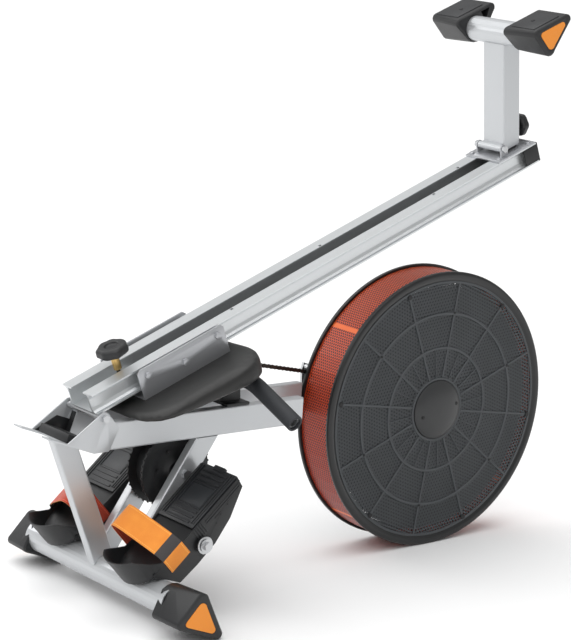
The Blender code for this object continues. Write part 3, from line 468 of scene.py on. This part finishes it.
def refined(node, finish, body, width=0.0008, segments=2, angle=32, clean=True):
    """Copy of a plain node with its loose triangles joined, flats cleaned and edges rounded."""
    source = bpy.data.objects[node]
    obj = bpy.data.objects.new(f"{node}_finished", source.data.copy())
    bpy.context.collection.objects.link(obj)
    activate(obj)
    bpy.ops.object.mode_set(mode="EDIT")
    bpy.ops.mesh.select_all(action="SELECT")
    bpy.ops.mesh.remove_doubles(threshold=0.00002)
    if clean:
        bpy.ops.mesh.dissolve_limited(angle_limit=radians(1.5))
    bpy.ops.object.mode_set(mode="OBJECT")
    soften(obj, width, segments, angle)
    return placed(f"{node}_finished", obj, finish, body, None, (node,))


def paint(finish, *nodes):
    """Better finish on nodes whose shape is already right."""
    for name in nodes:
        mesh = bpy.data.objects[name].data
        mesh.materials.clear()
        mesh.materials.append(finish.material)


# ---------------------------------------------------------------- frame, rail and small fittings

paint(rail_metal, "rail")
paint(silver, "base_tube", "rear_foot_tube", "front_leg", "near_strut", "far_strut", "near_beam", "far_beam",
      "rear_post")
paint(steel, "fan_axle", "reel_axle", "pedal_axle", "fan_sprocket", "hinge_bolt", "rear_hinge_bolt", "fan_arm",
      "rail_hinge_leaf", "handle_bar")
paint(black, "fan_wheel", "near_beam_plug", "far_beam_plug")
paint(cage_face, "near_cage_face", "far_cage_face")
paint(band, "cage_band")
paint(wheel_tyre, "near_roller_1", "near_roller_2", "near_roller_3", "far_roller_1", "far_roller_2",
      "far_roller_3")
paint(amber, "near_base_insert", "far_base_insert", "near_rear_insert", "far_rear_insert")
refined("fold_bracket", silver, "frame", 0.0007)
refined("rear_hinge_plate", plate_steel, "rail", 0.0005)
refined("carriage_bracket", plate_steel, "carriage", 0.0006)
refined("rail_end_cap", black, "rail", 0.0006)
refined("handle_cradle", black, "frame", 0.0008)
refined("rail_lock_knob", black, "rail_knob", 0.0020, 3, 25)
refined("leg_lock_knob", black, "leg_knob", 0.0016, 3, 25)
for side, prefix, body in (("near", "base", "frame"), ("far", "base", "frame"), ("near", "rear", "rear_leg"),
                           ("far", "rear", "rear_leg")):
    refined(f"{side}_{prefix}_cap", black, body, 0.0009, 2, 24, False)


# ---------------------------------------------------------------- cage

def cage_side(side, sign):
    """Raised ribs of a cage face, its rolled outer ring, hub dome and screws."""
    base = 0.0456
    rise = 0.0476
    section = [(-0.004, base), (-0.0034, rise - 0.0004), (-0.0028, rise), (0.0028, rise),
               (0.0034, rise - 0.0004), (0.004, base)]
    ribs = []
    for radius, wide in ((0.0630, 0.7), (0.126, 0.75), (0.196, 0.75), (0.2600, 0.7)):
        ribs.append(turned([(radius + a * wide, sign * y) for a, y in section], 120))
    for index in range(24):
        start, end, half = (0.066, 0.124, 0.0010) if index % 2 else (0.066, 0.258, 0.0022)
        spoke = block((start, sign * base - 0.0001, -half), (end, sign * (rise - 0.0001), half), 0.0003, 1)
        ribs.append(moved(spoke, Matrix.Rotation(-pi * index / 12 - radians(FACE_PHASE), 4, "Y")))
    placed(f"{side}_cage_ribs", merged("ribs", ribs), rib_grey, "frame", MACHINE, ())

    lip = [(0.2625, 0.0400), (0.2800, 0.0400), (0.2808, 0.0412), (0.2808, 0.0462), (0.2796, 0.0482),
           (0.2772, 0.0495), (0.2740, 0.0499), (0.2700, 0.0497), (0.2668, 0.0487), (0.2652, 0.0472),
           (0.2625, 0.0466)]
    placed(f"{side}_rolled_ring", turned([(r, sign * y) for r, y in lip], 144), ring_black, "frame", MACHINE,
           (f"{side}_cage_ring",))

    dome = [(0.0004, 0.0614), (0.0150, 0.0610), (0.0300, 0.0595), (0.0430, 0.0570), (0.0520, 0.0541),
            (0.0575, 0.0512), (0.0596, 0.0492), (0.0600, 0.0463), (0.0585, 0.0463), (0.0560, 0.0500),
            (0.0420, 0.0552), (0.0150, 0.0592), (0.0004, 0.0596)]
    if side == "far":
        dome = [(0.0360, 0.0463), (0.0360, 0.0487), (0.0372, 0.0496), (0.0588, 0.0496), (0.0600, 0.0487),
                (0.0600, 0.0463)]
    cover = turned([(r, sign * y) for r, y in dome], 96)
    placed(f"{side}_hub_dome", cover, hub_grey, "frame", MACHINE, (f"{side}_hub_cover",))
    screws = []
    for angle in (radians(34), radians(214)):
        spot = (0.0440 * cos(angle), 0.0440 * sin(angle))
        low, high = (0.0540, 0.0576) if side == "near" else (0.0480, 0.0500)
        screws.append(disc(0.0038, sign * low, sign * high, spot, 24))
    for index in range(6):
        angle = radians(FACE_PHASE + 60 * index)
        spot = (0.2545 * cos(angle), 0.2545 * sin(angle))
        screws.append(disc(0.0050, sign * 0.0470, sign * 0.0492, spot, 20))
        angle = radians(FACE_PHASE + 30 + 60 * index)
        spot = (0.198 * cos(angle), 0.198 * sin(angle))
        screws.append(disc(0.0028, sign * 0.0470, sign * 0.0486, spot, 16))
    placed(f"{side}_cage_screws", merged("screws", screws), black_and_painted_shade, "frame", MACHINE, ())


cage_side("near", -1)
cage_side("far", 1)


# ---------------------------------------------------------------- recoil reel

def reel_piece():
    flanges = []
    for sign in (-1, 1):
        plate = [(0.0066, 0.0292), (0.0180, 0.0292), (0.0200, 0.0275), (0.0290, 0.0236), (0.0480, 0.0232),
                 (0.0500, 0.0242), (0.0740, 0.0242), (0.0752, 0.0232), (0.0752, 0.0205), (0.0600, 0.0192),
                 (0.0066, 0.0192)]
        flanges.append(turned([(r, sign * y) for r, y in plate], 72))
        for index in range(40):
            tooth = block((0.0735, sign * 0.0208, -0.0018), (0.0772, sign * 0.0238, 0.0018), 0.0004, 1)
            flanges.append(moved(tooth, Matrix.Rotation(2 * pi * index / 40, 4, "Y")))
        for index in range(6):
            angle = 2 * pi * index / 6 + 0.3
            flanges.append(disc(0.0034, sign * 0.0235, sign * 0.0262, (0.040 * cos(angle), 0.040 * sin(angle)), 18))
    flanges.append(turned([(0.0066, -0.0195), (0.0580, -0.0195), (0.0580, 0.0195), (0.0066, 0.0195)], 64))
    placed("reel_drum", merged("reel", flanges), black, "reel", REEL_PLACE, ("recoil_reel",))


reel_piece()


# ---------------------------------------------------------------- chain

def arc(centre, radius, start, end, steps):
    return [(centre[0] + radius * cos(radians(start + (end - start) * i / steps)),
             centre[1] + radius * sin(radians(start + (end - start) * i / steps))) for i in range(steps + 1)]


def chain_route():
    rise = atan2(CHAIN_BEND[1] - HANDLE[1], CHAIN_BEND[0] - HANDLE[0])
    hold = 0.0151
    route = [(HANDLE[0] + hold * cos(rise), 0.0, HANDLE[1] + hold * sin(rise)), (CHAIN_BEND[0], 0.0, CHAIN_BEND[1])]
    route += [(a, SPROCKET_Y, b) for a, b in arc(UPPER_GUIDE, -GUIDE_REACH, 96, 99, 1)]
    knee = route[-1]
    climb = atan2(-knee[2], -knee[0]) + asin(SPROCKET_RADIUS / hypot(knee[0], knee[2]))
    route += [(a, SPROCKET_Y, b) for a, b in arc((0, 0), SPROCKET_RADIUS, 90 + climb * 180 / pi, -78, 22)]
    route += [(a, SPROCKET_Y, b) for a, b in arc(LOWER_GUIDE, GUIDE_REACH, 102, 110, 1)]
    route += [(a, 0.0, b) for a, b in arc(REEL, REEL_CORE + 0.0042, 110, 146, 6)]
    return [Vector(p) for p in route]


def chain_piece():
    """Roller chain: alternate outer and inner links, laid end to end along its route."""
    route = chain_route()
    joints = [route[0]]
    here = route[0]
    index = 1
    while index < len(route):
        gap = route[index] - here
        if gap.length >= CHAIN_PITCH:
            here = here + gap.normalized() * CHAIN_PITCH
            joints.append(here)
        else:
            index += 1
    templates = []
    for half, thick in ((0.0033, 0.0009), (0.0023, 0.0009)):
        parts = []
        for sign in (-1, 1):
            outline = arc((CHAIN_PITCH, 0), 0.0040, -80, 80, 5) + [(CHAIN_PITCH / 2, 0.0031)]
            outline += arc((0, 0), 0.0040, 100, 260, 5) + [(CHAIN_PITCH / 2, -0.0031)]
            low, high = sorted((sign * half, sign * (half + thick)))
            parts.append(slab(outline, low, high, 0))
        parts.append(disc(0.0036, -half, half, (0, 0), 12, 0))
        templates.append(merged("link", parts))
    meshes = bmesh.new()
    for number, (a, b) in enumerate(zip(joints, joints[1:])):
        along = (b - a).normalized()
        side = Vector((0, 1, 0)) - along * along.y
        side.normalize()
        up = along.cross(side) * -1
        turn = Matrix((along, side, up)).transposed().to_4x4()
        piece = templates[number % 2].data.copy()
        piece.transform(Matrix.Translation(a) @ turn)
        meshes.from_mesh(piece)
        bpy.data.meshes.remove(piece)
    made = new_mesh("chain", [], [])
    meshes.to_mesh(made.data)
    meshes.free()
    for template in templates:
        bpy.data.objects.remove(template, do_unlink=True)
    outward(made)
    activate(made)
    bpy.ops.object.shade_smooth_by_angle(angle=radians(38))
    placed("roller_chain", made, chain_steel, "frame", MACHINE, ("drive_chain",))


chain_piece()


# ---------------------------------------------------------------- handle

def handle_route():
    straight = 0.068
    knee = 0.112
    slope = (0.209, -0.379)
    reach = 0.212
    route = [(0.0, 0.042, 0.0), (0.0, straight, 0.0)]
    for i in range(1, 13):
        share = i / 12
        drop = 0.5 * (knee - straight) * share ** 2
        route.append((slope[0] * drop, straight + (knee - straight) * share, slope[1] * drop))
    end = route[-1]
    rise = reach - knee
    for i in range(1, 7):
        share = i / 6
        route.append((end[0] + slope[0] * rise * share, end[1] + rise * share, end[2] + slope[1] * rise * share))
    return route


def tube_along(route, profile, steps):
    """Closed hollow tube: profile lists (radius, route shift) rings from outside start round to inside start."""
    rings = []
    points = [Vector(p) for p in route]
    side = Vector((0, 0, 1))
    frames = []
    for i, point in enumerate(points):
        ahead = (points[min(i + 1, len(points) - 1)] - points[max(i - 1, 0)]).normalized()
        side = (side - ahead * side.dot(ahead)).normalized()
        frames.append((point, side.copy(), ahead.cross(side), ahead))
    for radius, first, last in profile:
        order = frames if first <= last else frames[::-1]
        rings += [(radius, f) for f in order]
    verts = []
    for radius, (centre, across, up, ahead) in rings:
        verts += [centre + radius * (across * cos(2 * pi * k / steps) + up * sin(2 * pi * k / steps))
                  for k in range(steps)]
    count = len(rings)
    faces = []
    for r in range(count):
        n = (r + 1) % count
        faces += [(r * steps + k, r * steps + (k + 1) % steps, n * steps + (k + 1) % steps, n * steps + k)
                  for k in range(steps)]
    return soften(outward(new_mesh("tube", verts, faces)), 0.0009, 2, 50)


for side, sign in (("near", -1), ("far", 1)):
    grip = tube_along([(x, sign * y, z) for x, y, z in handle_route()], ((0.016, 0, 1), (0.0118, 1, 0)), 40)
    placed(f"{side}_foam_grip", grip, foam, "handle", HANDLE_PLACE, (f"{side}_grip",))


# ---------------------------------------------------------------- pedals

def strap_route():
    width = PEDAL_Y[1] - PEDAL_Y[0]
    knots = [(-0.0015, 0.0125), (-0.0015, 0.042), (0.0025, 0.0505), (0.020, 0.0631), (0.080, 0.0970),
             (0.100, 0.1045), (width - 0.0025, 0.1025), (width + 0.0015, 0.0900), (width + 0.0015, 0.0130)]
    route = []
    for a, b in zip(knots, knots[1:]):
        steps = max(1, int(hypot(b[0] - a[0], b[1] - a[1]) / 0.004))
        route += [(a[0] + (b[0] - a[0]) * i / steps, a[1] + (b[1] - a[1]) * i / steps) for i in range(steps)]
    route.append(knots[-1])
    for _ in range(3):
        route = [route[0]] + [((p[0] + 2 * q[0] + r[0]) / 4, (p[1] + 2 * q[1] + r[1]) / 4)
                              for p, q, r in zip(route, route[1:], route[2:])] + [route[-1]]
    return route


def strap_piece(side, sign):
    """Woven foot strap with turned thickness; its top tape is orange and its underside red."""
    route = strap_route()
    across = 10
    verts = []
    lengths = [0.0]
    for a, b in zip(route, route[1:]):
        lengths.append(lengths[-1] + hypot(b[0] - a[0], b[1] - a[1]))
    for a, n in route:
        for k in range(across + 1):
            verts.append((-0.078 + 0.050 * k / across, sign * (PEDAL_Y[1] - a), n))
    faces = []
    row = across + 1
    for i in range(len(route) - 1):
        for k in range(across):
            faces.append((i * row + k, i * row + k + 1, (i + 1) * row + k + 1, (i + 1) * row + k))
    obj = new_mesh("strap", verts, faces)
    layer = obj.data.uv_layers.new(name="tape")
    for loop in obj.data.loops:
        i, k = divmod(loop.vertex_index, row)
        layer.data[loop.index].uv = (lengths[i], -0.025 + 0.050 * k / across)
    obj.data.materials.append(tape_top.material)
    obj.data.materials.append(tape_under.material)
    activate(obj)
    bpy.ops.object.mode_set(mode="EDIT")
    bpy.ops.mesh.select_all(action="SELECT")
    bpy.ops.mesh.normals_make_consistent(inside=False)
    if obj.data.polygons[0].normal.y * sign < 0:
        bpy.ops.mesh.flip_normals()
    bpy.ops.object.mode_set(mode="OBJECT")
    wall = obj.modifiers.new("thickness", "SOLIDIFY")
    wall.thickness = 0.0018
    wall.offset = 0.0
    wall.material_offset = 1
    apply_all(obj)
    bpy.ops.object.shade_smooth_by_angle(angle=radians(50))
    placed(f"{side}_foot_strap", obj, None, f"{side}_foot_rest", PEDAL, (f"{side}_strap",))


def sole_piece(side, sign):
    """Ribbed sliding sole plate with a plain recessed panel and a square tab at the toe."""
    inner, outer = PEDAL_Y
    low_y, high_y = sorted((sign * (inner + 0.0045), sign * (outer - 0.0045)))
    top = SOLE_N + 0.006
    parts = [block((0.004, low_y, SOLE_N + 0.0003), (0.132, high_y, top), 0.0012)]
    for y in (low_y + 0.004, low_y + 0.010, high_y - 0.013, high_y - 0.007):
        parts.append(block((0.012, y, top - 0.001), (0.128, y + 0.003, top + 0.0018), 0.0006))
    middle_low = low_y + 0.018
    middle_high = high_y - 0.018
    for index in range(11):
        t = 0.010 + 0.0108 * index
        if 0.040 < t < 0.092:
            continue
        parts.append(block((t, middle_low, top - 0.001), (t + 0.0055, middle_high, top + 0.0018), 0.0007))
    parts.append(block((0.126, (low_y + high_y) / 2 - 0.016, SOLE_N + 0.0008),
                       (0.1365, (low_y + high_y) / 2 + 0.016, top + 0.0015), 0.001))
    placed(f"{side}_ribbed_sole", merged("sole", parts), plate_black, f"{side}_sole_plate", PEDAL,
           (f"{side}_footplate",))
    rim = 0.002
    frame_parts = [block((0.042, middle_low, top - 0.001), (0.042 + rim, middle_high, top + 0.0018), 0.0005),
                   block((0.090, middle_low, top - 0.001), (0.090 + rim, middle_high, top + 0.0018), 0.0005)]
    frame_parts.append(block((0.042, middle_low, top - 0.001), (0.092, middle_low + rim, top + 0.0018), 0.0005))
    frame_parts.append(block((0.042, middle_high - rim, top - 0.001), (0.092, middle_high, top + 0.0018), 0.0005))
    frame_parts.append(block((0.046, middle_low + 0.004, top - 0.001), (0.088, middle_high - 0.004, top + 0.0008),
                             0.0006))
    placed(f"{side}_sole_panel", merged("panel", frame_parts), panel_grey, f"{side}_sole_plate", PEDAL, ())


def shell_trim(side, sign):
    """Slots, ribs and small bosses along the outer flange of a foot rest."""
    outer = PEDAL_Y[1]
    parts = []
    for n in (0.0285, 0.0235):
        y_low, y_high = sorted((sign * (outer - 0.0004), sign * (outer + 0.0011)))
        parts.append(block((0.030, y_low, n), (0.124, y_high, n + 0.002), 0.0004))
    for index in range(5):
        t = 0.000 + 0.0052 * index
        y_low, y_high = sorted((sign * (outer - 0.0004), sign * (outer + 0.0013)))
        parts.append(block((t, y_low, 0.012), (t + 0.0024, y_high, SOLE_N + 0.003), 0.0004))
    placed(f"{side}_flange_ribs", merged("ribs", parts), plate_black, f"{side}_foot_rest", PEDAL, ())
    # Slot and hole marks are near-black discs and bars on the flange: painted shade of the openings
    dots = []
    y_low, y_high = sorted((sign * (outer - 0.0006), sign * (outer + 0.0006)))
    for t, n in ((0.045, 0.008), (0.062, 0.014), (0.084, 0.017), (0.104, 0.0225)):
        dots.append(disc(0.0018, y_low, y_high, (t, n), 16, 0.0002))
    dots.append(block((0.048, y_low, 0.0165), (0.066, y_high, 0.0195), 0.0006))
    dots.append(block((0.086, y_low, 0.0165 + 0.004), (0.100, y_high, 0.0195 + 0.004), 0.0004))
    placed(f"{side}_flange_slots", merged("slots", dots), black_and_painted_shade, f"{side}_foot_rest", PEDAL, ())


for side, sign in (("near", -1), ("far", 1)):
    refined(f"{side}_pedal", black, f"{side}_foot_rest", 0.0007, 2, 28)
    strap_piece(side, sign)
    sole_piece(side, sign)
    shell_trim(side, sign)
    y_low, y_high = sorted((sign * 0.1968, sign * 0.1982))
    washer = disc(0.0165, sign * 0.1905, sign * 0.1932, PEDAL_AXLE, 32)
    placed(f"{side}_axle_washer", washer, steel, "frame", MACHINE, ())


# ---------------------------------------------------------------- seat

def seat_piece():
    """Moulded foam seat: swollen by pressure from a slightly smaller blank, then dished for the rower."""
    source = bpy.data.objects["seat_pad"]
    obj = bpy.data.objects.new("seat_cushion", source.data.copy())
    bpy.context.collection.objects.link(obj)
    outward(obj)
    middle = RAIL @ Vector((0.1825, 0.0, -0.028))
    turn = RAIL.to_3x3().to_4x4()
    shrink = Matrix.Translation(middle) @ turn @ Matrix.Diagonal((0.985, 0.985, 0.93, 1)) @ turn.inverted()
    obj.data.transform(shrink @ Matrix.Translation(-middle))
    rest = obj.modifiers.new("remesh", "REMESH")
    rest.mode = "VOXEL"
    rest.voxel_size = 0.0050
    apply_all(obj)
    start = [v.co.copy() for v in obj.data.vertices]
    cloth = obj.modifiers.new("swell", "CLOTH")
    cloth.settings.use_pressure = True
    cloth.settings.uniform_pressure_force = 2.5
    cloth.settings.quality = 5
    cloth.settings.effector_weights.gravity = 0.0
    scene = bpy.context.scene
    for number in range(1, 15):
        scene.frame_set(number)
    depsgraph = bpy.context.evaluated_depsgraph_get()
    swollen = [v.co.copy() for v in obj.evaluated_get(depsgraph).data.vertices]
    obj.modifiers.remove(cloth)
    for vertex, before, after in zip(obj.data.vertices, start, swollen):
        shift = after - before
        if shift.length > 0.0022:
            shift = shift.normalized() * 0.0022
        vertex.co = before + shift
    scene.frame_set(1)
    back = RAIL.inverted()
    for vertex in obj.data.vertices:
        s, y, p = back @ vertex.co
        if p < -0.020:
            inward = max(0.0, 1 - ((s - 0.20) / 0.12) ** 2) * max(0.0, 1 - (y / 0.125) ** 2)
            lift = 0.006 * inward
            vertex.co = RAIL @ Vector((s, y, p + lift))
    smooth = obj.modifiers.new("smooth", "CORRECTIVE_SMOOTH")
    smooth.iterations = 2
    smooth.use_only_smooth = True
    finer = obj.modifiers.new("finer", "SUBSURF")
    finer.levels = 1
    finer.render_levels = 1
    apply_all(obj)
    activate(obj)
    bpy.ops.object.shade_smooth()
    placed("seat_cushion", obj, seat_skin, "carriage", None, ("seat_pad",))


seat_piece()


# ---------------------------------------------------------------- details on feet, rail and knobs

def foot_details(prefix, sign, body, tube, flip, inner, length, matrix, reach, left):
    """Screwed pad on the flat of an end cap."""
    side = "near" if sign < 0 else "far"
    drop = PAD_DROP if prefix == "base" else LEG_PAD_P - tube[1]
    y_low, y_high = sorted((sign * (inner + 0.012), sign * (inner + length - 0.010)))
    level = flip * -drop
    low, high = sorted((level - flip * 0.0006, level + flip * 0.001))
    if prefix == "base":
        low, high = level + 0.0004, level + 0.002
    else:
        low, high = level - 0.001, level + 0.0016
    pad = block((tube[0] + left + 0.016, y_low, tube[1] + low), (tube[0] + reach - 0.022, y_high, tube[1] + high), 0.0012)
    placed(f"{side}_{prefix}_foot_pad", pad, plate_black, body, matrix, ())
    if prefix == "rear":
        deselect()
        spot = (tube[0] + 0.004, sign * (inner + length * 0.45), tube[1] + high)
        bpy.ops.mesh.primitive_cylinder_add(vertices=24, radius=0.0042, depth=0.0016, location=spot)
        screw = bpy.context.object
        bpy.ops.object.transform_apply(location=True, rotation=True, scale=True)
        soften(screw, 0.0004)
        placed(f"{side}_{prefix}_pad_screw", screw, black_and_painted_shade, body, matrix, ())


for sign in (-1, 1):
    foot_details("rear", sign, "rear_leg", LEG_TUBE, -1, 0.066, 0.0855, RAIL, 0.062, -0.046)
    foot_details("base", sign, "frame", BASE_TUBE, 1, BASE_HALF, 0.073, MACHINE, CAP_REACH, -0.033)

# Near-black sheet on the channel floor: painted shade of the deep rail groove
groove_shade_sheet = block((0.140, -0.0275, 0.0093), (1.085, 0.0275, 0.0108), 0.0004)
placed("rail_groove_painted_shade", groove_shade_sheet, black_and_painted_shade, "rail", RAIL, ())
# Black sheet on the inner face of the fold bracket's far plate: painted shade inside the bracket
ear_shade_sheet = slab([(-0.842, -0.2725), (-0.788, -0.2725), (-0.760, -0.2640), (-0.757, -0.2360), (-0.806, -0.2360)],
                  0.0548, 0.0572, 0.0004)
placed("bracket_inner_painted_shade", ear_shade_sheet, black, "frame", MACHINE, ())
rest = block((-0.8412, -0.0462, -0.2728), (-0.7958, 0.0462, -0.2562), 0.0012)
placed("bracket_rest_block", rest, black, "frame", MACHINE, ())

deselect()
bpy.ops.mesh.primitive_cylinder_add(vertices=32, radius=0.0078, depth=0.024, location=(0.087, 0, 0.0555))
stem = bpy.context.object
bpy.ops.object.transform_apply(location=True, rotation=True, scale=True)
soften(stem, 0.0008)
placed("brass_collar", stem, brass, "rail_knob", RAIL, ())


# ---------------------------------------------------------------- stage, light and camera

deselect()
bpy.ops.mesh.primitive_plane_add(size=60, location=(0, 12, -0.0005))
floor = bpy.context.object
floor.name = "floor"
floor_finish = Finish("floor_white", (0.93, 0.93, 0.93), 0.9)
floor.data.materials.append(floor_finish.material)

world = bpy.data.worlds.new("studio")
bpy.context.scene.world = world
world.use_nodes = True
world.node_tree.nodes["Background"].inputs["Color"].default_value = (1, 1, 1, 1)
world.node_tree.nodes["Background"].inputs["Strength"].default_value = 0.50


def softbox(name, place, target, size, power):
    deselect()
    bpy.ops.object.light_add(type="AREA", location=place)
    lamp = bpy.context.object
    lamp.name = name
    lamp.data.shape = "RECTANGLE"
    lamp.data.size = size[0]
    lamp.data.size_y = size[1]
    lamp.data.energy = power
    lamp.rotation_euler = (Vector(target) - Vector(place)).to_track_quat("-Z", "Y").to_euler()


deselect()
bpy.ops.object.light_add(type="SUN", location=(0, 0, 4))
overhead = bpy.context.object
overhead.name = "overhead_light"
overhead.data.energy = 2.3
overhead.data.angle = radians(80)
overhead.rotation_euler = (radians(-8), radians(-14), 0)
softbox("key_light", (-2.4, -2.4, 2.6), (0, 0, 0.4), (1.4, 1.4), 16)
softbox("back_light", (-1.6, 2.6, 1.8), (0, 0, 0.6), (1.4, 1.4), 14)

deselect()
bpy.ops.object.camera_add(location=(-2.8667, -3.5399, 1.5119))
camera = bpy.context.object
camera.name = "view_camera"
look = Vector((0.6090, 0.7620, -0.21985)).normalized()
right = Vector((0.7871, -0.6149, 0.04865))
right = (right - look * right.dot(look)).normalized()
up = right.cross(look)
camera.rotation_mode = "QUATERNION"
camera.rotation_quaternion = Matrix((right, up, -look)).transposed().to_quaternion()
camera.data.sensor_width = 36
camera.data.lens = 136.87
camera.data.clip_end = 200
bpy.context.scene.camera = camera
bpy.context.scene.view_settings.view_transform = "Standard"
